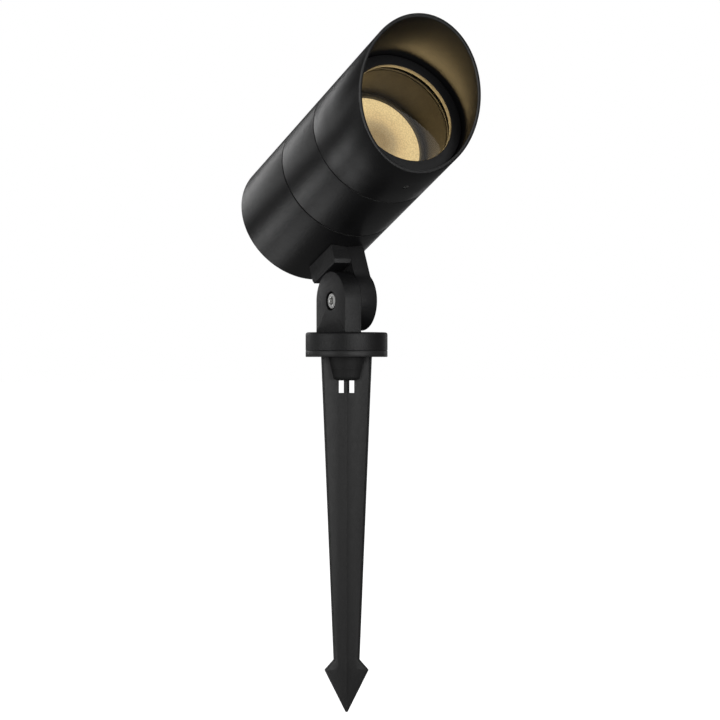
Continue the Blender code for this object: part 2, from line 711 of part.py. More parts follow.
def make_optic(body):
    """The moulded lens over the emitter and the black ring that holds it by its rim."""
    cone_top = 25.0
    cone_foot = 8.5
    pocket_mouth, pocket_top, pocket_height = 6.2, 5.5, 59.0
    dome_radius = (LENS_RADIUS**2 + LENS_DOME**2) / (2 * LENS_DOME)
    dome = []
    for step in range(5):
        radius = LENS_RADIUS * (1 - step / 4)
        sag = dome_radius - sqrt(dome_radius**2 - radius**2)
        dome.append((radius, LENS_RIM_FRONT + LENS_DOME - sag))
    outline = [
        (0, pocket_height),
        (pocket_top, pocket_height),
        (pocket_mouth, LENS_REAR),
        (cone_foot, LENS_REAR),
        (cone_top, LENS_RIM_REAR),
        (LENS_RADIUS, LENS_RIM_REAR),
        *dome,
    ]
    add_piece("lens", lathe(outline, MID_SIDES), LENS_WHITE, body)

    outer = 29.5
    wall_bore = 27.9
    rim_bore = LENS_RADIUS + 0.4
    ledge_bore = 25.4
    ledge = LENS_RIM_REAR - GAP
    holder = [
        (wall_bore, BULKHEAD_FRONT + GAP),
        (outer, BULKHEAD_FRONT + GAP),
        (outer, LENS_RIM_FRONT + 1.2),
        (rim_bore, LENS_RIM_FRONT + 1.2),
        (rim_bore, ledge),
        (ledge_bore, ledge),
        (ledge_bore, ledge - 2.0),
        (wall_bore, ledge - 4.0),
    ]
    add_piece("lens_holder", lathe(holder, MID_SIDES), NYLON_BLACK, body)


def make_lamp_barrel(body):
    """The barrel in front of the middle body, which seats the glass behind a threaded bezel."""
    rear = LAMP_SOCKET_FLOOR + GAP
    spigot = LAMP_SOCKET_RADIUS - 0.4
    groove = (58.6, 60.8)
    groove_floor = spigot - 1.6
    shoulder = FRONT_SEAM + GAP / 2
    glass_room = GLASS_RADIUS + 0.4
    seat_bore = 30.6
    outline = [
        (BARREL_BORE, rear),
        (spigot, rear),
        (spigot, groove[0]),
        (groove_floor, groove[0]),
        (groove_floor, groove[1]),
        (spigot, groove[1]),
        (spigot, shoulder),
        (BARREL_RADIUS, shoulder),
        (BARREL_RADIUS, BARREL_FRONT),
        (glass_room, BARREL_FRONT),
        (glass_room, GLASS_SEAT),
        (seat_bore, GLASS_SEAT),
        (BARREL_BORE, LENS_RIM_FRONT + 3),
    ]
    add_piece("lamp_barrel", lathe(outline, BIG_SIDES), POWDER_BLACK, body)
    seal = round_ring(groove_floor + 1.0, 0.65, sum(groove) / 2, RING_SIDES)
    add_piece("front_oring", seal, RUBBER, body)
    gasket = ring(seat_bore + 0.3, GLASS_RADIUS, GLASS_SEAT + GAP, GLASS_REAR - GAP, MID_SIDES)
    add_piece("glass_gasket", gasket, RUBBER, body)
    glass = lathe(disc(GLASS_RADIUS, GLASS_REAR, GLASS_FRONT), BIG_SIDES)
    add_piece("cover_glass", glass, CLEAR, body)

    edge = 0.3
    flange_rear = BARREL_FRONT + GAP
    press_bore = 31.0
    outline = [
        (press_bore, GLASS_FRONT + GAP),
        (GLASS_RADIUS, GLASS_FRONT + GAP),
        (GLASS_RADIUS, flange_rear),
        (BARREL_RADIUS, flange_rear),
        (BARREL_RADIUS, BEZEL_FRONT - edge),
        (BARREL_RADIUS - edge, BEZEL_FRONT),
        (BEZEL_BORE + edge, BEZEL_FRONT),
        (BEZEL_BORE, BEZEL_FRONT - edge),
        (BEZEL_BORE, flange_rear),
        (press_bore, flange_rear),
    ]
    add_piece("bezel", lathe(outline, BIG_SIDES), POWDER_BLACK, body)


def make_cowl(body):
    """The anti-glare cowl: a thin tube cut on the slant, locked on the barrel by a grub screw."""
    rear = FRONT_SEAM + GAP / 2

    def outline_at(angle):
        rise = tan(COWL_CUT_TILT) * sin(angle)
        return [
            (COWL_BORE, rear),
            (HEAD_RADIUS - SEAM_CHAMFER, rear),
            (HEAD_RADIUS, rear + SEAM_CHAMFER),
            (HEAD_RADIUS, COWL_CUT + rise * HEAD_RADIUS),
            (COWL_BORE, COWL_CUT + rise * COWL_BORE),
        ]

    cowl = add_piece("cowl", lathe(outline_at, BIG_SIDES), POWDER_BLACK, body)
    outside = (0, -HEAD_RADIUS - 1, GRUB_STATION)
    inside = (0, 2 - COWL_BORE, GRUB_STATION)
    combine(cowl, [rod(outside, inside, GRUB_RADIUS + GAP)], "DIFFERENCE")

    tip = BARREL_RADIUS + 0.15
    mouth = HEAD_RADIUS - 0.4
    grub = add_piece(
        "cowl_grub_screw",
        lathe(disc(GRUB_RADIUS, tip, mouth), SMALL_SIDES),
        STAINLESS,
        body,
        (0, 0, GRUB_STATION),
        (pi / 2, 0, 0),
    )
    combine(grub, [hex_prism(1.5, tip + 0.8, mouth + 1)], "DIFFERENCE")


def build():
    for leftover in list(bpy.data.objects):
        bpy.data.objects.remove(leftover)
    spike_body = pivot("spike_body")
    base_body = pivot("base_body", spike_body)
    hinge = (0, 0, HINGE_HEIGHT)
    head_body = pivot("head_body", base_body, hinge, pi / 2 - BEAM_LIFT)
    head_axis = pivot("head_axis", head_body, (0, AXIS_REACH, 0))
    cowl_body = pivot("cowl_body", head_axis)

    make_spike(spike_body)
    make_base(base_body)
    make_hinge(base_body, head_body)
    wire_x, screw_offset = make_bracket(head_body)
    driver_top = make_rear_housing(head_axis, wire_x, screw_offset)
    make_mid_body(head_axis, driver_top)
    make_optic(head_axis)
    make_lamp_barrel(head_axis)
    make_cowl(cowl_body)


build()
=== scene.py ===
"""A garden spotlight on a ground spike: the looks of its pieces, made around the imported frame.

Each section makes one piece or a group of like pieces, from the spike up to the cowl. Sizes are
in millimetres, and the meshes in metres. The row's origin is on the spike's axis at the ground
line, the beam points to -Y and upwards, and the hinge lies along X.
"""

import json

import bmesh
import bpy
import numpy as np
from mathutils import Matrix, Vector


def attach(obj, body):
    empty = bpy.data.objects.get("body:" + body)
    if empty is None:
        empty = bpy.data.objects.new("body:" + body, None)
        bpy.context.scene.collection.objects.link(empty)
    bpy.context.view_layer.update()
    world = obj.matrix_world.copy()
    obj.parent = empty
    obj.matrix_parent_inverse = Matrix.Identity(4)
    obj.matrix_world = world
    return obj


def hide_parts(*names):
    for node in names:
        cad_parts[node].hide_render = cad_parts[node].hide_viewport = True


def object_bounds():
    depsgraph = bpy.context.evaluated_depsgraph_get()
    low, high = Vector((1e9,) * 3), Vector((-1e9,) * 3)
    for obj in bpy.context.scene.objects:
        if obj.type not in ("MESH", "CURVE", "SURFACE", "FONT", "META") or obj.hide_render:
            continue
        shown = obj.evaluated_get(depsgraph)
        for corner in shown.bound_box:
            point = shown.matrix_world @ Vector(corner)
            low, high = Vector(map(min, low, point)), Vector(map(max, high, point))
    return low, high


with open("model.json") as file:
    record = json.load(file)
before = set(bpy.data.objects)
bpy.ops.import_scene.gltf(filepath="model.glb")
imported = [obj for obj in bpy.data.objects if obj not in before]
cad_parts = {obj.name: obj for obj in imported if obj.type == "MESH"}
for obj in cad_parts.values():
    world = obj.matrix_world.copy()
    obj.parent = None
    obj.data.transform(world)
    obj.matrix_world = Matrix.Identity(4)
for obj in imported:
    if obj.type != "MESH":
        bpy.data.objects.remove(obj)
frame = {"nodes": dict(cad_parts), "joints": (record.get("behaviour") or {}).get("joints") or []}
cad_box = [list(corner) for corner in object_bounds()]
MM = 0.001

# Camera: a long lens level with the ground line, 30 degrees round to the left of the beam.
camera = bpy.data.objects.new("camera", bpy.data.cameras.new("camera"))
bpy.context.scene.collection.objects.link(camera)
camera.data.sensor_width = 36.0
camera.data.lens = 132.6
camera.data.clip_start = 0.05
camera.data.clip_end = 50.0
camera.location = (-0.7325, -1.2837, -0.0017)
camera.rotation_euler = (np.pi / 2, 0, -np.pi / 6)
bpy.context.scene.camera = camera
bpy.context.scene.view_settings.view_transform = "Standard"
bpy.context.scene.view_settings.look = "None"


# Studio: a plain white floor that only the camera sees, and a white surround. The light on the
# object comes from soft cards, each named for where it stands.
def linear(hex_colour, alpha=1.0):
    """An sRGB hex colour made linear: over 12.92 below 0.04045, else raised to 2.4."""
    srgb = np.array([int(hex_colour[place : place + 2], 16) for place in (1, 3, 5)]) / 255
    values = np.where(srgb <= 0.04045, srgb / 12.92, ((srgb + 0.055) / 1.055) ** 2.4)
    return (*values.tolist(), alpha)


def add_node(tree, kind, inputs=None, **settings):
    """Add a shader node. An input is set to a value, or linked if it is given a socket."""
    made = tree.nodes.new(kind)
    for name, value in settings.items():
        setattr(made, name, value)
    for name, value in (inputs or {}).items():
        if isinstance(value, bpy.types.NodeSocket):
            tree.links.new(value, made.inputs[name])
        else:
            made.inputs[name].default_value = value
    return made


def new_material(name):
    """An empty material's node tree and its output node."""
    material = bpy.data.materials.new(name)
    material.use_nodes = True
    material.node_tree.nodes.clear()
    return material, material.node_tree, add_node(material.node_tree, "ShaderNodeOutputMaterial")


world = bpy.data.worlds.new("white surround")
bpy.context.scene.world = world
world.use_nodes = True
tree = world.node_tree
tree.nodes.clear()
seen = add_node(tree, "ShaderNodeLightPath").outputs["Is Camera Ray"]
ambient = add_node(tree, "ShaderNodeBackground", {"Color": linear("#ffffff"), "Strength": 0.09})
backdrop = add_node(tree, "ShaderNodeBackground", {"Color": linear("#ffffff"), "Strength": 1.0})
surround = add_node(
    tree,
    "ShaderNodeMixShader",
    {0: seen, 1: ambient.outputs[0], 2: backdrop.outputs[0]},
)
add_node(tree, "ShaderNodeOutputWorld", {"Surface": surround.outputs[0]})

FLOOR_HALF = 20
floor_height = cad_box[0][2] - 0.0005
floor_mesh = bpy.data.meshes.new("floor")
floor_corners = [
    (FLOOR_HALF * x, FLOOR_HALF * y, floor_height) for x, y in ((-1, -1), (1, -1), (1, 1), (-1, 1))
]
floor_mesh.from_pydata(floor_corners, [], [(0, 1, 2, 3)])
floor = bpy.data.objects.new("floor", floor_mesh)
bpy.context.scene.collection.objects.link(floor)
material, tree, output = new_material("white card")
card = add_node(
    tree,
    "ShaderNodeBsdfPrincipled",
    {
        "Base Color": linear("#f4f4f4"),
        "Roughness": 0.9,
        "Specular IOR Level": 0.0,
        "Emission Color": linear("#ffffff"),
        "Emission Strength": 1.0,
    },
)
tree.links.new(card.outputs[0], output.inputs["Surface"])
floor_mesh.materials.append(material)
floor.visible_glossy = False
floor.visible_diffuse = False
floor.visible_transmission = False
floor.visible_shadow = False

# Each card has its way from the lamps' centre, then its distance and size in metres, and watts.
LAMP_CENTRE = np.array([0.0, -0.01, 0.09])
for name, towards, distance, size, watts in (
    ("rear_high", (-0.06, 0.97, 0.23), 3.0, (0.65, 1.1), 3.8),
    ("rear_left", (-0.33, 0.93, 0.13), 3.0, (0.9, 1.0), 2.2),
    ("left_rear", (-0.68, 0.73, 0.08), 1.3, (0.6, 0.24), 0.3),
    ("low_left", (-0.61, 0.66, -0.45), 2.0, (0.9, 0.45), 2.4),
    ("below_left", (-0.41, 0.53, -0.74), 2.0, (1.0, 0.6), 1.8),
    ("rear_right", (0.57, 0.82, -0.1), 1.3, (0.3, 0.3), 0.1),
    ("right", (0.87, 0.5, 0.02), 1.3, (0.5, 0.5), 0.4),
    ("left", (-1.0, -0.09, 0.02), 1.3, (1.0, 0.5), 2.7),
    ("front_left", (-0.71, -0.71, 0.02), 1.3, (1.2, 0.6), 0.3),
    ("front_right", (0.03, -1.0, 0.0), 1.3, (1.2, 0.6), 4.6),
    ("front_high", (0.42, -0.65, 0.63), 1.3, (0.8, 0.8), 1.2),
    ("top", (0.0, 0.0, 1.0), 1.3, (0.8, 0.8), 1.0),
):
    lamp = bpy.data.lights.new(name, "AREA")
    lamp.shape = "RECTANGLE"
    lamp.size, lamp.size_y = size
    lamp.energy = watts
    soft_card = bpy.data.objects.new(name, lamp)
    bpy.context.scene.collection.objects.link(soft_card)
    direction = np.array(towards) / np.linalg.norm(towards)
    soft_card.location = (LAMP_CENTRE + distance * direction).tolist()
    tilt = np.pi / 2 - np.arcsin(direction[2])
    soft_card.rotation_euler = (tilt, 0, np.arctan2(direction[0], -direction[1]))
    soft_card.visible_camera = False


# Spike: one moulding of black glass-filled nylon, with a flange, a tapered boss and three ribs
# that end in barbs and a point. A window through each rib lets the cable out below the boss.
def skin_from(name, points, faces):
    """An object from points in millimetres and faces, its normals turned out and its shading
    smooth but for edges over 35 degrees."""
    mesh = bpy.data.meshes.new(name)
    mesh.from_pydata((points * MM).tolist(), [], faces)
    shape = bmesh.new()
    shape.from_mesh(mesh)
    bmesh.ops.recalc_face_normals(shape, faces=shape.faces)
    shape.to_mesh(mesh)
    shape.free()
    mesh.shade_smooth()
    mesh.set_sharp_from_angle(angle=np.radians(35))
    piece = bpy.data.objects.new(name, mesh)
    bpy.context.scene.collection.objects.link(piece)
    return piece


def closed_skin(name, rings, capped=True):
    """A closed skin through rings of points: quads join each ring to the next, round and round.

    Capped, a flat face fills the first ring and the last. Otherwise the last joins the first.
    """
    count, around = rings.shape[:2]
    index = np.arange(count * around).reshape(count, around)
    if not capped:
        index = np.vstack([index, index[:1]])
    turned = np.roll(index, -1, 1)
    quads = np.stack([index[:-1], turned[:-1], turned[1:], index[1:]], -1).reshape(-1, 4)
    faces = quads.tolist()
    if capped:
        faces += [index[0][::-1].tolist(), index[-1].tolist()]
    return skin_from(name, rings.reshape(-1, 3), faces)


def belongs(piece, body, slot, material, *nodes):
    """Give a piece its material, its body and the CAD nodes that it stands for. The slot is not
    used.
    """
    piece.data.materials.append(material)
    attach(piece, body)
    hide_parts(*nodes)


ROUGHNESS_PATCH = 3


def grained_finish(name, colours, grain, depth, roughness, spread, specular=0.5):
    """A finish with a fine raised grain. Noise of the grain's size lifts the surface by the
    depth, both in millimetres, and mixes the two colours. Noise in wider patches varies the
    roughness by the spread each way."""
    material, tree, output = new_material(name)
    place = add_node(tree, "ShaderNodeTexCoord").outputs["Object"]
    noise = add_node(
        tree,
        "ShaderNodeTexNoise",
        {"Vector": place, "Scale": 1 / (grain * MM), "Detail": 3.0, "Roughness": 0.6},
    )
    patches = add_node(
        tree,
        "ShaderNodeTexNoise",
        {"Vector": place, "Scale": 1 / (ROUGHNESS_PATCH * MM), "Detail": 2.0},
    )
    rough = add_node(
        tree,
        "ShaderNodeMapRange",
        {
            "Value": patches.outputs[0],
            "From Min": 0.3,
            "From Max": 0.7,
            "To Min": roughness - spread,
            "To Max": roughness + spread,
        },
    )
    bump = add_node(
        tree,
        "ShaderNodeBump",
        {"Height": noise.outputs[0], "Strength": 1.0, "Distance": depth * MM},
    )
    shade = add_node(
        tree,
        "ShaderNodeMix",
        {"Factor": noise.outputs[0], 6: linear(colours[0]), 7: linear(colours[1])},
        data_type="RGBA",
    )
    shader = add_node(
        tree,
        "ShaderNodeBsdfPrincipled",
        {
            "Base Color": shade.outputs[2],
            "Roughness": rough.outputs[0],
            "Specular IOR Level": specular,
            "Normal": bump.outputs[0],
        },
    )
    tree.links.new(shader.outputs[0], output.inputs["Surface"])
    return material


# Glass-filled nylon from a spark-textured mould: an even dull black with a grain too fine to
# feel. The real grain is about 0.1 mm and is drawn at 0.8 mm so that it shows.
moulded_nylon = grained_finish(
    "moulded black nylon", ("#2a2a2a", "#373737"), 0.8, 0.06, 0.42, 0.03
)

# The ribs, and their windows from the start to the end outwards. A rib's section is given at
# four levels, each as (height, reach, half thickness).
RIB_ANGLES = (60, 180, 300)
WINDOW_START, WINDOW_END = 0.95, 5.7
WINDOW_TOP, WINDOW_FOOT = -13.1, -20.0
RIB_TOP = (2.0, 15.7, 1.4)
RIB_WAIST = (-168.2, 7.8, 1.3)
BARB = (-173.6, 13.7, 1.2)
POINT = (-197.8, 0.5, 0.4)


def spike_rings(levels, edge, arc_points):
    """Rings of the spike, one for each level (height, round radius, rib reach, half thickness).

    A ring follows the round part between the ribs. It leaves it where the rib's side, half a
    thickness from the rib's middle line, crosses the round: at arcsin(half / round). It then
    runs out along the side to the reach, over the rounded corner, and back on the other side.
    Where there is no round part, one just big enough to part the ribs' sides stands for it.
    Two columns of each side keep to the window's start and end, as far as the rib has room.
    """
    height, round_radius, reach, half = (column[:, None] for column in np.array(levels).T)
    core = half / np.sin(np.radians(180 / len(RIB_ANGLES) - 2.5))
    round_radius = np.maximum(round_radius, core)
    leave = np.arcsin(half / round_radius)
    root = round_radius * np.cos(leave)
    run = reach - root
    inner = np.clip(WINDOW_START, root + 0.01 * run, root + 0.3 * run)
    outer = np.clip(WINDOW_END, root + 0.3 * run, root + 0.7 * run)
    edge = np.minimum(edge, 0.25 * run)
    out = np.hstack([root, inner, outer, reach - edge, reach - 0.3 * edge, reach])
    side = np.hstack([half, half, half, half, half - 0.3 * edge, half - edge])
    out = np.hstack([out, out[:, ::-1]])
    side = np.hstack([-side, side[:, ::-1]])
    share = np.arange(1, arc_points + 1) / (arc_points + 1)
    arc = leave + (2 * np.pi / len(RIB_ANGLES) - 2 * leave) * share
    out = np.hstack([out, round_radius * np.cos(arc)])
    side = np.hstack([side, round_radius * np.sin(arc)])
    turn = np.radians(RIB_ANGLES)[None, :, None]
    x = out[:, None, :] * np.cos(turn) - side[:, None, :] * np.sin(turn)
    y = out[:, None, :] * np.sin(turn) + side[:, None, :] * np.cos(turn)
    z = np.broadcast_to(height[:, None, :], x.shape)
    return np.stack([x, y, z], -1).reshape(len(levels), -1, 3)


def round_rings(levels, like):
    """Circles of each (height, radius), with their points at the angles of a given ring's."""
    height, radius = np.array(levels).T[:, :, None]
    angle = np.arctan2(like[:, 1], like[:, 0])[None, :]
    x, y = radius * np.cos(angle), radius * np.sin(angle)
    return np.stack([x, y, np.broadcast_to(height, x.shape)], -1)


def rib_level(height, round_radius=0.0):
    """A level between the rib's stated sections, by straight lines between them."""
    stated = np.array([POINT, BARB, RIB_WAIST, RIB_TOP])
    reach = np.interp(height, stated[:, 0], stated[:, 1])
    half = np.interp(height, stated[:, 0], stated[:, 2])
    return height, round_radius, reach, half


# The skin runs from the boss's socket out over the flange, then down the boss and the ribs.
FLANGE_RADIUS, FLANGE_TOP = 22.85, 3.55
SOCKET_RADIUS, CABLE_RADIUS, SOCKET_FLOOR = 8.7, 3.9, -8.5
round_foot = np.radians(np.linspace(0, 90, 6))
boss = [(0.0, 12.6), (-0.4, 12.1), (-6.25, 10.62), (-6.35, 10.5), (-6.45, 10.5), (-6.55, 10.58)]
boss += [(-10.4 - 2.4 * s, 7.1 + 2.3 * c) for s, c in zip(np.sin(round_foot), np.cos(round_foot))]
levels = [rib_level(height, radius) for height, radius in boss]
levels += [rib_level(height) for height in (-12.85, WINDOW_TOP, WINDOW_FOOT, -60.0, -110.0)]
levels += [rib_level(height) for height in (-168.0, -168.4, -173.35, -173.85, -197.8)]
star = spike_rings(levels, edge=0.25, arc_points=20)
socket = [(-12.0, CABLE_RADIUS), (SOCKET_FLOOR, CABLE_RADIUS)]
socket += [(SOCKET_FLOOR, SOCKET_RADIUS), (FLANGE_TOP, SOCKET_RADIUS)]
flange = [
    (FLANGE_TOP, FLANGE_RADIUS - 0.4),
    (FLANGE_TOP - 0.12, FLANGE_RADIUS - 0.12),
    (FLANGE_TOP - 0.4, FLANGE_RADIUS),
    (0.35, FLANGE_RADIUS),
    (0.1, FLANGE_RADIUS - 0.1),
    (0.0, FLANGE_RADIUS - 0.35),
]
rings = np.vstack([round_rings(socket + flange, star[0]), star])
around = rings.shape[1]
per_rib = around // len(RIB_ANGLES)
top_row = len(socket + flange) + len(boss) + 1
index = np.arange(rings.shape[0] * around).reshape(-1, around)
turned = np.roll(index, -1, 1)
quads = np.stack([index[:-1], turned[:-1], turned[1:], index[1:]], -1)
kept = np.ones(quads.shape[:2], bool)
walls = []
for rib in range(len(RIB_ANGLES)):
    # A window takes the place of one quad on each side, and four walls join their borders.
    near, far = rib * per_rib + 1, rib * per_rib + 9
    kept[top_row, [near, far]] = False
    columns = [near, near + 1, far, far + 1]
    top, foot = index[top_row, columns].tolist(), index[top_row + 1, columns].tolist()
    walls += [top, [foot[0], foot[3], foot[2], foot[1]]]
    walls += [[top[0], top[3], foot[3], foot[0]], [top[1], foot[1], foot[2], top[2]]]
faces = quads[kept].tolist() + walls + [index[0][::-1].tolist(), index[-1].tolist()]
spike = skin_from("spike_moulding", rings.reshape(-1, 3), faces)
belongs(spike, "spike", "black_nylon", moulded_nylon, "spike")


# Insert and stud: turned brass, the bush moulded into the spike's boss and the hollow stud that
# screws into it from the base. The cutter leaves fine rings round both.
def dress(material, *names):
    """Give CAD nodes a material in place of the one that they were packed with."""
    for name in names:
        node = frame["nodes"][name]
        node.data.materials.clear()
        node.data.materials.append(material)


def turned_metal(name, colour, roughness, ring_gap, axis):
    """Bare metal off a lathe: a wave along the axis stands for the cutter's rings, and noise
    breaks up the shine. The real rings are about 0.1 mm apart, and the gap given here, in
    millimetres, is as coarse as they need to show. A wave of scale 1 turns 20 radians a unit."""
    material, tree, output = new_material(name)
    place = add_node(tree, "ShaderNodeTexCoord").outputs["Object"]
    wave = add_node(
        tree,
        "ShaderNodeTexWave",
        {
            "Vector": place,
            "Scale": 2 * np.pi / (20 * ring_gap * MM),
            "Distortion": 1.5,
            "Detail": 1.0,
        },
        bands_direction=axis,
    )
    noise = add_node(tree, "ShaderNodeTexNoise", {"Vector": place, "Scale": 1 / (1.2 * MM)})
    rough = add_node(
        tree,
        "ShaderNodeMapRange",
        {"Value": noise.outputs[0], "To Min": roughness - 0.06, "To Max": roughness + 0.06},
    )
    bump = add_node(
        tree, "ShaderNodeBump", {"Height": wave.outputs[1], "Strength": 0.6, "Distance": 0.01 * MM}
    )
    shader = add_node(
        tree,
        "ShaderNodeBsdfPrincipled",
        {
            "Base Color": linear(colour),
            "Metallic": 1.0,
            "Roughness": rough.outputs[0],
            "Normal": bump.outputs[0],
        },
    )
    tree.links.new(shader.outputs[0], output.inputs["Surface"])
    return material


turned_brass = turned_metal("turned brass", "#c8a85a", 0.28, 1.57, "Z")
dress(turned_brass, "spike_insert", "base_stud")

# Rubber seals: the grommet at the boss's foot, the flat gasket, the O-rings and the small rings
# at the wire's way. All are pressed black rubber, dull with a faint bloom.
pressed_rubber = grained_finish(
    "pressed black rubber", ("#151515", "#1c1c1c"), 0.4, 0.02, 0.78, 0.05
)
dress(
    pressed_rubber,
    "cable_grommet",
    "base_gasket",
    "knuckle_seal",
    "bracket_seal",
    "rear_oring",
    "front_oring",
)


# Base disc: turned from aluminium bar with a rounded top edge and recessed below for the
# gasket, then powder coated black.
def turned_rings(outline, sides, origin=(0, 0, 0), across=(1, 0, 0), up=(0, 0, 1)):
    """An outline of (radius, height) points turned about an axis: each point goes round a
    circle of its radius, at its height along the axis from the origin."""
    radius, height = np.array(outline).T[:, :, None]
    angle = np.linspace(0, 2 * np.pi, sides, endpoint=False)[None, :]
    across, up = np.array(across, float), np.array(up, float)
    aside = np.cross(up, across)
    parts = np.broadcast_arrays(radius * np.cos(angle), radius * np.sin(angle), height)
    ways = (across, aside, up)
    return sum(part[..., None] * way for part, way in zip(parts, ways)) + np.array(origin)


def softened(corners, steps=4):
    """An outline with each corner (radius, height, round) eased: a curve leaves one edge and
    joins the next at that distance from the corner, bending towards the corner between."""
    spots = np.array([corner[:2] for corner in corners], float)
    eased = []
    for number, (radius, height, ease) in enumerate(corners):
        spot = spots[number]
        if not ease:
            eased.append(spot)
            continue
        before, after = spots[number - 1] - spot, spots[(number + 1) % len(spots)] - spot
        start = spot + before / np.linalg.norm(before) * ease
        end = spot + after / np.linalg.norm(after) * ease
        t = np.linspace(0, 1, steps + 1)[:, None]
        eased.extend((1 - t) ** 2 * start + 2 * t * (1 - t) * spot + t**2 * end)
    return eased


# Powder coat over aluminium: baked polyester with a fine texture, whose satin black draws the
# light out in long soft bands. The real grain is about 0.3 mm. It is drawn at 0.9 mm, the
# finest that shows.
powder_coat = grained_finish(
    "fine-texture black powder coat", ("#131314", "#1c1c1d"), 0.9, 0.08, 0.32, 0.02
)

# The base, the bracket and the bezel have the same coat over a blasted surface. It is a little
# rougher and greyer, and its grain stands out more.
blasted_coat = grained_finish(
    "black powder coat over blasted aluminium", ("#151516", "#262627"), 0.9, 0.14, 0.44, 0.02
)

DISC_TOP, DISC_FOOT = 13.7, 3.58
disc = softened(
    [
        (0.5, DISC_TOP, 0),
        (FLANGE_RADIUS, DISC_TOP, 1.5),
        (FLANGE_RADIUS, DISC_FOOT, 0.2),
        (19.5, DISC_FOOT, 0.1),
        (19.5, 5.35, 0),
        (6.3, 5.35, 0),
        (6.3, 11.0, 0),
        (0.5, 11.0, 0),
    ],
    steps=6,
)
piece = closed_skin("base_disc_coated", turned_rings(disc, 160))
belongs(piece, "base", "black_powder_coat", blasted_coat, "base_disc")

# Screws and washer inside the base and the head: plain stainless steel, cold headed and then
# tumbled, which leaves an even grey shine.
tumbled_steel = turned_metal("tumbled stainless steel", "#b9b9b7", 0.3, 2.51, "X")
dress(
    tumbled_steel,
    "post_screw_front",
    "post_screw_rear",
    "hinge_washer",
    "bracket_screw_front",
    "bracket_screw_rear",
    "driver_screw_1",
    "driver_screw_2",
    "board_screw_1",
    "board_screw_2",
    "board_screw_3",
)

# Base post: a plate milled from aluminium, with a full-round top and a counterbore for the
# hinge screw, powder coated and screwed to the disc from below.
hinge = np.array(frame["joints"][1]["pos_m"]) / MM
KNUCKLE_RADIUS, PLATE_THICK, PLATE_FOOT = 16.4, 10.3, 13.72
KNUCKLE_GAP = 0.06  # from each plate's inner face to the middle plane
COUNTERBORE, COUNTERBORE_FLOOR, SCREW_HOLE = 5.2, 3.4, 2.8


def round_hinge(x, radius, angle):
    """Points at an x, and at a radius and an angle about the hinge's line."""
    y, z = hinge[1] + radius * np.cos(angle), hinge[2] + radius * np.sin(angle)
    return np.stack([np.broadcast_to(x, radius.shape), y, z], -1)


def plate_rings(stations, sides=144):
    """Rings of the post's plate about the hinge, one for each (x, inset, hole).

    With a hole, the ring is a circle of that radius. Without, it is the outline moved in by
    the inset: a circle above the hinge, and below it the nearer of the straight sides and the
    foot along each direction.
    """
    foot_drop = hinge[2] - PLATE_FOOT
    corner = np.arctan2(foot_drop, KNUCKLE_RADIUS)
    even = np.linspace(0, 2 * np.pi, sides, endpoint=False)
    angle = np.sort(np.append(even, [2 * np.pi - corner, np.pi + corner]))
    x, inset, hole = (column[:, None] for column in np.array(stations, float).T)
    with np.errstate(divide="ignore"):
        sides_at = (KNUCKLE_RADIUS - inset) / np.abs(np.cos(angle))
        foot_at = (foot_drop - inset) / np.abs(np.sin(angle))
    lower = np.minimum(sides_at, foot_at)
    outline = np.where(np.sin(angle) >= 0, KNUCKLE_RADIUS - inset, lower)
    return round_hinge(x, np.where(hole > 0, hole, outline), angle)


plate = plate_rings(
    [
        (-KNUCKLE_GAP, 0, SCREW_HOLE),
        (-COUNTERBORE_FLOOR, 0, SCREW_HOLE),
        (-COUNTERBORE_FLOOR, 0, COUNTERBORE),
        (0.2 - PLATE_THICK, 0, COUNTERBORE),
        (-PLATE_THICK, 0, COUNTERBORE + 0.2),
        (-PLATE_THICK, 0.4, 0),
        (0.12 - PLATE_THICK, 0.12, 0),
        (0.4 - PLATE_THICK, 0, 0),
        (-2 * KNUCKLE_GAP, 0, 0),
        (-KNUCKLE_GAP, 0.06, 0),
    ]
)
piece = closed_skin("base_post_coated", plate, capped=False)
belongs(piece, "base", "black_powder_coat", blasted_coat, "base_post")


# Hinge screw: a stainless cap screw with a hexagon socket, sunk in the post's counterbore. The
# head is turned and its side rolled, and it catches the light as a pale ring.
def hexagon_rings(stations, sides=72):
    """Rings round the hinge's line, one for each (x, radius, hexagonal share). A share of 1 is
    a hexagon of that radius to its flats, and 0 a circle."""
    x, radius, share = (column[:, None] for column in np.array(stations, float).T)
    angle = np.linspace(0, 2 * np.pi, sides, endpoint=False)[None, :]
    flat = 1 / np.cos((angle + np.pi / 6) % (np.pi / 3) - np.pi / 6)
    return round_hinge(x, radius * (1 + share * (flat - 1)), angle)


HEAD_FACE, UNDER_HEAD, HEAD_HALF, SHANK = -9.8, -4.8, 4.3, 2.45
screw = hexagon_rings(
    [
        (-7.1, 1.9, 1),
        (HEAD_FACE + 0.25, 2.0, 1),
        (HEAD_FACE, 2.42, 0),
        (HEAD_FACE, 3.7, 0),
        (HEAD_FACE + 0.15, HEAD_HALF - 0.2, 0),
        (HEAD_FACE + 0.5, HEAD_HALF, 0),
        (UNDER_HEAD, HEAD_HALF, 0),
        (UNDER_HEAD, SHANK, 0),
        (9.0, SHANK, 0),
        (9.2, 2.2, 0),
    ]
)
bright_steel = turned_metal("bright stainless steel", "#e4e4e2", 0.42, 1.885, "X")
piece = closed_skin("hinge_cap_screw", screw)
belongs(piece, "base", "stainless_steel", bright_steel, "hinge_screw")

# Friction disc: pressed fibre, a mottled pale buff, between the two knuckle plates. It lets the
# head be set by hand and keeps it there.
pressed_fibre = grained_finish("pressed fibre", ("#7d7466", "#a3988a"), 0.8, 0.05, 0.75, 0.05)
dress(pressed_fibre, "friction_disc")

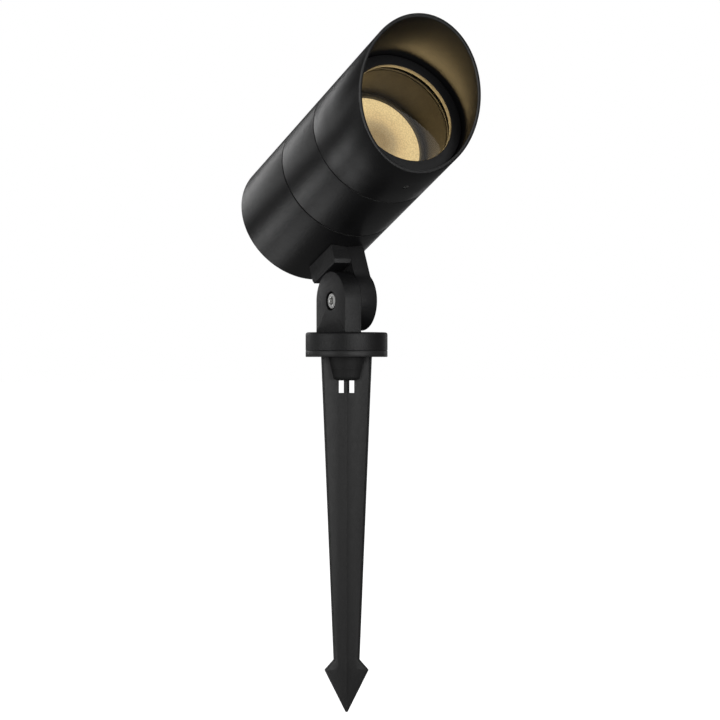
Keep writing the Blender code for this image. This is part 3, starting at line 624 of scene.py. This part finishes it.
# Hinge nut: a stainless hexagon nut with chamfered corners, in the bracket's far counterbore.
NUT_INNER, NUT_OUTER, NUT_HALF, NUT_BORE = 5.6, 9.6, 4.0, 2.7
nut = hexagon_rings(
    [
        (NUT_INNER, NUT_BORE + 0.2, 0),
        (NUT_INNER, NUT_HALF - 0.4, 0),
        (NUT_INNER + 0.25, NUT_HALF, 1),
        (NUT_OUTER - 0.3, NUT_HALF, 1),
        (NUT_OUTER, NUT_HALF - 0.4, 0),
        (NUT_OUTER, NUT_BORE + 0.2, 0),
        (NUT_OUTER - 0.3, NUT_BORE, 0),
        (NUT_INNER + 0.3, NUT_BORE, 0),
    ]
)
piece = closed_skin("hinge_hexagon_nut", nut, capped=False)
belongs(piece, "head", "stainless_steel", bright_steel, "hinge_nut")

# Head bracket: a milled aluminium saddle under the housing. Over the post it is a full block;
# beside the post it runs on as the second knuckle plate. Powder coated with the head.
beam = np.array(frame["joints"][2]["axis"])
axis_foot = np.array(frame["joints"][2]["pos_m"]) / MM
across = np.array([1.0, 0, 0])
lift = np.cross(beam, across)


def in_head(x, up, forward):
    """Points of the head from the hinge: x along it, up towards the head's axis, and forward
    along the beam, laid in the row's frame."""
    return x[..., None] * across + up[..., None] * lift + forward[..., None] * beam + hinge


# From the hinge, the head's axis is at AXIS_REACH, the step over the post at STEP, and the
# chamfer below the neck begins at CHAMFER_TOP.
AXIS_REACH, SADDLE_RADIUS = 65.0, 38.3
NECK_HALF, STEP, CHAMFER_TOP, NUT_SEAT = 14.0, 17.3, 19.2, 5.3


def bracket_rings(stations, round_end, counts=(12, 10, 4, 60)):
    """Rings of the bracket, one for each (x, inset, hole), with matching points throughout.

    Each ring goes along the saddle, down one neck side, over the chamfer, round the lower end
    and back. With a round end, the lower end is the knuckle's circle. Without, it is the step
    over the post. With a hole, the points keep their angles about the hinge, at that radius.
    """
    top_count, side_count, chamfer_count, low_count = counts
    rings = []
    for x, inset, hole in stations:
        neck, step = NECK_HALF - inset, STEP + inset
        saddle = AXIS_REACH - np.sqrt(SADDLE_RADIUS**2 - x**2) - 0.4 * inset
        chamfer_top = (CHAMFER_TOP, neck)
        top = np.linspace((saddle, -neck), (saddle, neck), top_count, endpoint=False)
        side = np.linspace((saddle, neck), chamfer_top, side_count, endpoint=False)
        if round_end:
            radius = KNUCKLE_RADIUS - inset
            meet = np.arcsin(neck / radius)
            chamfer_foot = (radius * np.cos(meet), neck)
            angle = np.linspace(meet, 2 * np.pi - meet, low_count)
            low = radius * np.stack([np.cos(angle), np.sin(angle)], -1)
        else:
            chamfer_foot = (step, neck - 1.0)
            low = np.linspace(chamfer_foot, (step, 1.0 - neck), low_count)
        chamfer = np.linspace(chamfer_top, chamfer_foot, chamfer_count, endpoint=False)
        other = (np.vstack([side, chamfer]) * (1, -1))[:0:-1]
        ring = np.vstack([top, side, chamfer, low, other])
        if hole:
            angle = np.arctan2(ring[:, 1], ring[:, 0])
            ring = hole * np.stack([np.cos(angle), np.sin(angle)], -1)
        rings.append(in_head(np.full(len(ring), float(x)), ring[:, 0], ring[:, 1]))
    return np.array(rings)


block = bracket_rings(
    [
        (-PLATE_THICK, 0.35, 0),
        (0.12 - PLATE_THICK, 0.1, 0),
        (0.35 - PLATE_THICK, 0, 0),
        (KNUCKLE_GAP, 0, 0),
    ],
    round_end=False,
)
plate = bracket_rings(
    [
        (KNUCKLE_GAP, 0.06, 0),
        (2 * KNUCKLE_GAP, 0, 0),
        (PLATE_THICK - 0.4, 0, 0),
        (PLATE_THICK - 0.12, 0.12, 0),
        (PLATE_THICK, 0.4, 0),
        (PLATE_THICK, 0, COUNTERBORE + 0.2),
        (PLATE_THICK - 0.2, 0, COUNTERBORE),
        (NUT_SEAT, 0, COUNTERBORE),
        (NUT_SEAT, 0, 0.3),
    ],
    round_end=True,
)
piece = closed_skin("head_bracket_coated", np.vstack([block, plate]))
belongs(piece, "head", "black_powder_coat", blasted_coat, "head_bracket")


# Rear housing: a cup turned from aluminium, closed behind, whose mouth meets the middle body
# in a narrow dark seam.
def on_beam(outline, sides=192):
    """An outline turned about the head's axis, its heights counted along the beam."""
    return turned_rings(outline, sides, axis_foot, across, beam)


HEAD_RADIUS, HEAD_REAR = 38.0, -28.0
REAR_SEAM = (26.3, 26.9)
cup = softened(
    [
        (0.5, HEAD_REAR, 0),
        (HEAD_RADIUS, HEAD_REAR, 1.1),
        (HEAD_RADIUS, REAR_SEAM[0], 0.3),
        (35.0, REAR_SEAM[0], 0.1),
        (35.0, -24.0, 0.5),
        (0.5, -24.0, 0),
    ]
)
piece = closed_skin("rear_housing_coated", on_beam(cup))
belongs(piece, "head", "black_powder_coat", powder_coat, "rear_housing")

# Driver: a closed case of light grey moulded plastic, even and slightly glossy, with two ears by
# which it is screwed to the housing's end wall.
moulded_grey = grained_finish(
    "moulded grey plastic", ("#bdbec0", "#c8c9cb"), 0.5, 0.02, 0.5, 0.05
)
dress(moulded_grey, "driver_case")

# Middle body: the heat sink between the two seams, turned from solid aluminium with a bulkhead
# for the board, and coated outside with the rest. Its spigot behind carries the rear O-ring.
FRONT_SEAM = (65.65, 66.05)
BULKHEAD_REAR, BULKHEAD_FRONT = 44.0, 50.0
SPIGOT_BORE, SPIGOT_RADIUS = 31.0, 34.5
middle = softened(
    [
        (0.5, BULKHEAD_REAR, 0),
        (SPIGOT_BORE, BULKHEAD_REAR, 0.3),
        (SPIGOT_BORE, 16.0, 0.2),
        (SPIGOT_RADIUS, 16.0, 0.4),
        (SPIGOT_RADIUS, 19.0, 0),
        (SPIGOT_RADIUS - 1.5, 19.0, 0),
        (SPIGOT_RADIUS - 1.5, 21.4, 0),
        (SPIGOT_RADIUS, 21.4, 0),
        (SPIGOT_RADIUS, REAR_SEAM[1], 0),
        (HEAD_RADIUS, REAR_SEAM[1], 0.3),
        (HEAD_RADIUS, FRONT_SEAM[0], 0.3),
        (33.4, FRONT_SEAM[0], 0.1),
        (33.4, 56.0, 0),
        (30.0, 56.0, 0),
        (30.0, BULKHEAD_FRONT, 0),
        (0.5, BULKHEAD_FRONT, 0),
    ]
)
piece = closed_skin("middle_body_coated", on_beam(middle))
belongs(piece, "head", "black_powder_coat", powder_coat, "mid_body")

# Thermal pad, board, emitter and leads: a soft blue silicone pad, a board with white solder
# mask, a yellow phosphor dome and two leads in red and black insulation. The pad is dull, the
# mask and the insulation have a low gloss.
silicone_pad = grained_finish("blue silicone pad", ("#6d8fb4", "#7d9ec2"), 1.0, 0.05, 0.8, 0.05)
solder_mask = grained_finish("white solder mask", ("#dcdcd8", "#e8e8e4"), 1.5, 0.01, 0.35, 0.05)
phosphor = grained_finish("yellow phosphor", ("#e6c544", "#f0d25a"), 0.3, 0.02, 0.45, 0.05)
red_insulation = grained_finish(
    "red wire insulation", ("#a51d1d", "#b52525"), 0.8, 0.01, 0.45, 0.05
)
black_insulation = grained_finish(
    "black wire insulation", ("#161616", "#1d1d1d"), 0.8, 0.01, 0.45, 0.05
)
dress(silicone_pad, "thermal_pad")
dress(solder_mask, "led_board")
dress(phosphor, "led_emitter")
dress(red_insulation, "led_lead_red")
dress(black_insulation, "led_lead_black")

# Lens holder: a ring moulded in the spike's black nylon, which stands on the bulkhead around the
# board. It grips the lens by its rim.
holder_ring = softened(
    [
        (27.9, 50.3, 0),
        (29.5, 50.3, 0.2),
        (29.5, 67.4, 0.3),
        (27.4, 67.4, 0.3),
        (27.4, 64.0, 0),
        (25.4, 64.0, 0),
        (25.4, 62.0, 0),
        (27.9, 60.0, 0),
    ]
)
piece = closed_skin("lens_holder_ring", on_beam(holder_ring), capped=False)
belongs(piece, "head", "black_nylon", moulded_nylon, "lens_holder")

# Lens: moulded acrylic over the emitter. Its front is a low dome covered in small pebbles that
# spread the beam, and it glows warm white, dimmer in the middle. The pebbles are drawn at their
# real size of 0.9 mm.
LENS_RADIUS, LENS_RIM, LENS_DOME, PEBBLE = 27.0, 66.0, 1.0, 0.9
dome_share = np.linspace(1, 0.01, 24)
dome = np.stack([LENS_RADIUS * dome_share, LENS_RIM + LENS_DOME * (1 - dome_share**2)], -1)
lens_outline = [(0.3, 59.0), (5.5, 59.0), (6.2, 53.2), (8.5, 53.2)]
lens_outline += [(25.0, 64.3), (LENS_RADIUS, 64.3)]
lens_outline += dome.tolist()


def lit_lens():
    """Acrylic that glows. The glow grows with the distance from the beam's axis, over the share
    of the lens's radius, and each pebble, a Voronoi cell, is lighter in its middle."""
    material, tree, output = new_material("lit pebbled acrylic")
    place = add_node(tree, "ShaderNodeTexCoord").outputs["Object"]
    foot = tuple((axis_foot * MM).tolist())
    from_foot = add_node(tree, "ShaderNodeVectorMath", {0: place, 1: foot}, operation="SUBTRACT")
    aside = add_node(
        tree,
        "ShaderNodeVectorMath",
        {0: from_foot.outputs[0], 1: tuple(beam.tolist())},
        operation="CROSS_PRODUCT",
    )
    reach = add_node(tree, "ShaderNodeVectorMath", {0: aside.outputs[0]}, operation="LENGTH")
    share = add_node(
        tree,
        "ShaderNodeMath",
        {0: reach.outputs["Value"], 1: LENS_RADIUS * MM},
        operation="DIVIDE",
    )
    grade = add_node(tree, "ShaderNodeValToRGB", {"Fac": share.outputs[0]})
    ramp = grade.color_ramp
    ramp.elements[0].position, ramp.elements[0].color = 0.2, linear("#7d7159")
    ramp.elements[1].position, ramp.elements[1].color = 0.8, linear("#f5dda8")
    for position, tone in ((0.4, "#a89a7c"), (0.55, "#dcc496")):
        ramp.elements.new(position).color = linear(tone)
    pebbles = add_node(
        tree, "ShaderNodeTexVoronoi", {"Vector": place, "Scale": 1 / (PEBBLE * MM)}, feature="F1"
    )
    pebble_light = add_node(
        tree,
        "ShaderNodeMapRange",
        {"Value": pebbles.outputs["Distance"], "From Max": 0.7, "To Min": 1.18, "To Max": 0.78},
    )
    bump = add_node(
        tree,
        "ShaderNodeBump",
        {"Height": pebbles.outputs["Distance"], "Strength": 0.6, "Distance": 0.15 * MM},
        invert=True,
    )
    shader = add_node(
        tree,
        "ShaderNodeBsdfPrincipled",
        {
            "Base Color": linear("#6e6450"),
            "Roughness": 0.15,
            "IOR": 1.49,
            "Emission Color": grade.outputs[0],
            "Emission Strength": pebble_light.outputs[0],
            "Normal": bump.outputs[0],
        },
    )
    tree.links.new(shader.outputs[0], output.inputs["Surface"])
    return material


piece = closed_skin("lens_acrylic", on_beam(lens_outline, 144))
belongs(piece, "head", "lens_clear", lit_lens(), "lens")

# Lamp barrel: a tube turned from aluminium and coated, which reaches from the front seam to the
# glass. Its bore shows through the glass, warm in the lens's light.
BARREL_RADIUS, BARREL_BORE, BARREL_FRONT = 35.6, 29.8, 96.1
GLASS_RADIUS, GLASS_SEAT, GLASS_REAR, GLASS_FRONT = 33.0, 90.3, 91.9, 94.9
barrel = softened(
    [
        (BARREL_BORE, 56.3, 0),
        (33.0, 56.3, 0.2),
        (33.0, 58.6, 0),
        (31.4, 58.6, 0),
        (31.4, 60.8, 0),
        (33.0, 60.8, 0),
        (33.0, FRONT_SEAM[1], 0),
        (BARREL_RADIUS, FRONT_SEAM[1], 0.2),
        (BARREL_RADIUS, BARREL_FRONT, 0.2),
        (GLASS_RADIUS + 0.4, BARREL_FRONT, 0),
        (GLASS_RADIUS + 0.4, GLASS_SEAT, 0),
        (30.6, GLASS_SEAT, 0.2),
        (BARREL_BORE, 70.2, 0),
    ]
)
# The coat in the barrel is matt, so that it glares little, and the warm light browns it.
dull_coat = grained_finish(
    "dull black powder coat", ("#1a1917", "#302e2a"), 0.9, 0.12, 0.8, 0.05, specular=0.15
)
piece = closed_skin("lamp_barrel_coated", on_beam(barrel), capped=False)
belongs(piece, "head", "black_powder_coat", dull_coat, "lamp_barrel")

# Glass gasket: a flat ring cut from rubber sheet, on the barrel's shoulder behind the glass.
gasket = softened(
    [
        (30.9, GLASS_SEAT + 0.05, 0.2),
        (GLASS_RADIUS, GLASS_SEAT + 0.05, 0),
        (GLASS_RADIUS, GLASS_REAR - 0.05, 0),
        (30.9, GLASS_REAR - 0.05, 0.2),
    ]
)
piece = closed_skin("glass_gasket_ring", on_beam(gasket), capped=False)
belongs(piece, "head", "black_rubber", pressed_rubber, "glass_gasket")

# Cover glass: a flat disc of clear toughened glass with ground edges, held by the bezel. A face
# mirrors only from outside the glass, by the Fresnel share at an IOR of 1.5, so that the lens
# shows clearly.
material, tree, output = new_material("clear toughened glass")
sheen = add_node(tree, "ShaderNodeBsdfGlossy", {"Color": linear("#ffffff"), "Roughness": 0.03})
through = add_node(tree, "ShaderNodeBsdfTransparent", {"Color": linear("#f2f0ea")})
mirror_share = add_node(tree, "ShaderNodeFresnel", {"IOR": 1.5})
inside = add_node(tree, "ShaderNodeNewGeometry").outputs["Backfacing"]
front_only = add_node(
    tree, "ShaderNodeMix", {0: inside, 2: mirror_share.outputs[0], 3: 0.0}, data_type="FLOAT"
)
pane = add_node(
    tree,
    "ShaderNodeMixShader",
    {0: front_only.outputs[0], 1: through.outputs[0], 2: sheen.outputs[0]},
)
tree.links.new(pane.outputs[0], output.inputs["Surface"])
glass_disc = softened(
    [
        (0.3, GLASS_REAR, 0),
        (GLASS_RADIUS, GLASS_REAR, 0.4),
        (GLASS_RADIUS, GLASS_FRONT, 0.4),
        (0.3, GLASS_FRONT, 0),
    ]
)
piece = closed_skin("cover_glass_pane", on_beam(glass_disc))
belongs(piece, "head", "cover_glass", material, "cover_glass")

# Bezel: a ring turned from aluminium and coated, screwed on the barrel over the glass. It has a
# short plain bore.
BEZEL_BORE, BEZEL_FRONT = 29.6, 97.9
bezel = softened(
    [
        (BEZEL_BORE, GLASS_FRONT + 0.3, 0.1),
        (GLASS_RADIUS, GLASS_FRONT + 0.3, 0),
        (GLASS_RADIUS, BARREL_FRONT + 0.3, 0),
        (BARREL_RADIUS, BARREL_FRONT + 0.3, 0.1),
        (BARREL_RADIUS, BEZEL_FRONT, 0.3),
        (BEZEL_BORE, BEZEL_FRONT, 0.3),
    ]
)
piece = closed_skin("bezel_coated", on_beam(bezel), capped=False)
belongs(piece, "head", "black_powder_coat", blasted_coat, "bezel")


# Cowl: a thin aluminium tube slipped over the barrel, cut on a slant to hide the glare, and
# coated inside and out. A drilled hole below takes its grub screw.
def on_cowl(radius, angle, height):
    """Points at an angle round the head's axis, at a radius and a height along the beam."""
    spots = np.broadcast_arrays(radius * np.cos(angle), radius * np.sin(angle), height)
    return sum(s[..., None] * way for s, way in zip(spots, (across, lift, beam))) + axis_foot


COWL_BORE, SLANT_MIDDLE, SLANT = 36.0, 118.1, 27.1
HOLE_AT, HOLE_RADIUS, PATCH_HALF = 83.6, 1.9, 2.6


def cowl_skin():
    """The cowl's wall, as rings round the head's axis, and the grub screw's hole through it.

    The front end leans back: it stands at the slant's middle plus its tangent times the radius
    times the sine of the angle. The hole is a patch below: where the wall has cells between two
    rings, quads join the cells' border to a circle instead, outside and in, and a wall of quads
    joins the two circles.
    """
    angle = np.radians(np.arange(0, 360, 1.5))
    lean = np.tan(np.radians(SLANT)) * np.sin(angle)
    low, high = HOLE_AT - PATCH_HALF, HOLE_AT + PATCH_HALF
    outer, inner, foot = HEAD_RADIUS, COWL_BORE, FRONT_SEAM[1]
    straight = [(inner, foot), (outer - 0.3, foot), (outer - 0.08, foot + 0.08)]
    straight += [(outer, foot + 0.3), (outer, low), (outer, high)]
    leaning = [(outer, 0.3), (outer - 0.09, 0.09), (outer - 0.3, 0.0)]
    leaning += [(inner + 0.3, 0.0), (inner + 0.09, 0.09), (inner, 0.3)]
    rings = [on_cowl(radius, angle, height) for radius, height in straight]
    rings += [
        on_cowl(radius, angle, SLANT_MIDDLE + lean * radius - back) for radius, back in leaning
    ]
    rings += [on_cowl(inner, angle, height) for height in (high, low)]
    points = np.array(rings)
    count, around = points.shape[:2]
    index = np.arange(count * around).reshape(count, around)
    above = np.roll(index, -1, 0)
    quads = np.stack([index, np.roll(index, -1, 1), np.roll(above, -1, 1), above], -1)
    lowest = np.radians(270)
    columns = np.flatnonzero(np.abs(angle - lowest) < np.radians(5))  # seven, evenly about it
    outer_row, inner_row = 4, count - 2
    kept = np.ones((count, around), bool)
    kept[outer_row, columns[:-1]] = kept[inner_row, columns[:-1]] = False
    faces = quads[kept].tolist()
    spots = points.reshape(-1, 3).tolist()
    half_border = len(columns)
    following = np.roll(np.arange(2 * half_border), -1)
    circles = []
    for row, radius, upwards in ((outer_row, outer, 1), (inner_row, inner, -1)):
        border = np.append(index[row, columns], index[row + 1, columns[::-1]])
        side = radius * (angle[columns] - lowest)
        side = np.append(side, side[::-1])
        along = upwards * np.repeat([-PATCH_HALF, PATCH_HALF], half_border)
        turn = np.arctan2(along, side)
        reach = HOLE_RADIUS * np.cos(turn) / radius
        circle = on_cowl(radius, lowest + reach, HOLE_AT + HOLE_RADIUS * np.sin(turn))
        circles.append(len(spots) + np.arange(2 * half_border))
        spots += circle.tolist()
        rim = circles[-1]
        faces += np.stack([border, border[following], rim[following], rim], -1).tolist()
    near, far = circles[0], circles[1]
    far = np.append(far[half_border:][::-1], far[:half_border][::-1])  # in the near one's order
    faces += np.stack([near, near[following], far[following], far], -1).tolist()
    return skin_from("cowl_coated", np.array(spots), faces)


piece = cowl_skin()
belongs(piece, "cowl", "black_powder_coat", powder_coat, "cowl")
dress(tumbled_steel, "cowl_grub_screw")

# The beam itself: a disc of warm light just over the lens, which rides with the head. It
# spreads in a cone, so that it lights the cowl's bore more than the barrel's. A faint one under
# the glass stands for what the glass throws back on the barrel and the lens. Each has its
# station along the beam, whether it points back, its watts and its cone in degrees.
for name, station, flip, watts, cone in (
    ("beam", 67.2, 0, 0.05, 135),
    ("thrown_back", 91.0, 1, 0.012, 180),
):
    lamp = bpy.data.lights.new(name, "AREA")
    lamp.shape = "DISK"
    lamp.size = 2 * (LENS_RADIUS - 1) * MM
    lamp.energy = watts
    lamp.color = linear("#ffe0a6")[:3]
    lamp.spread = np.radians(cone)
    glow = bpy.data.objects.new(name, lamp)
    bpy.context.scene.collection.objects.link(glow)
    glow.location = ((axis_foot + station * beam) * MM).tolist()
    glow.rotation_euler = (np.pi / 2 + np.arcsin(beam[2]) - np.pi * flip, 0, np.pi)
    glow.visible_camera = False
    glow.visible_glossy = not flip
    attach(glow, "head")
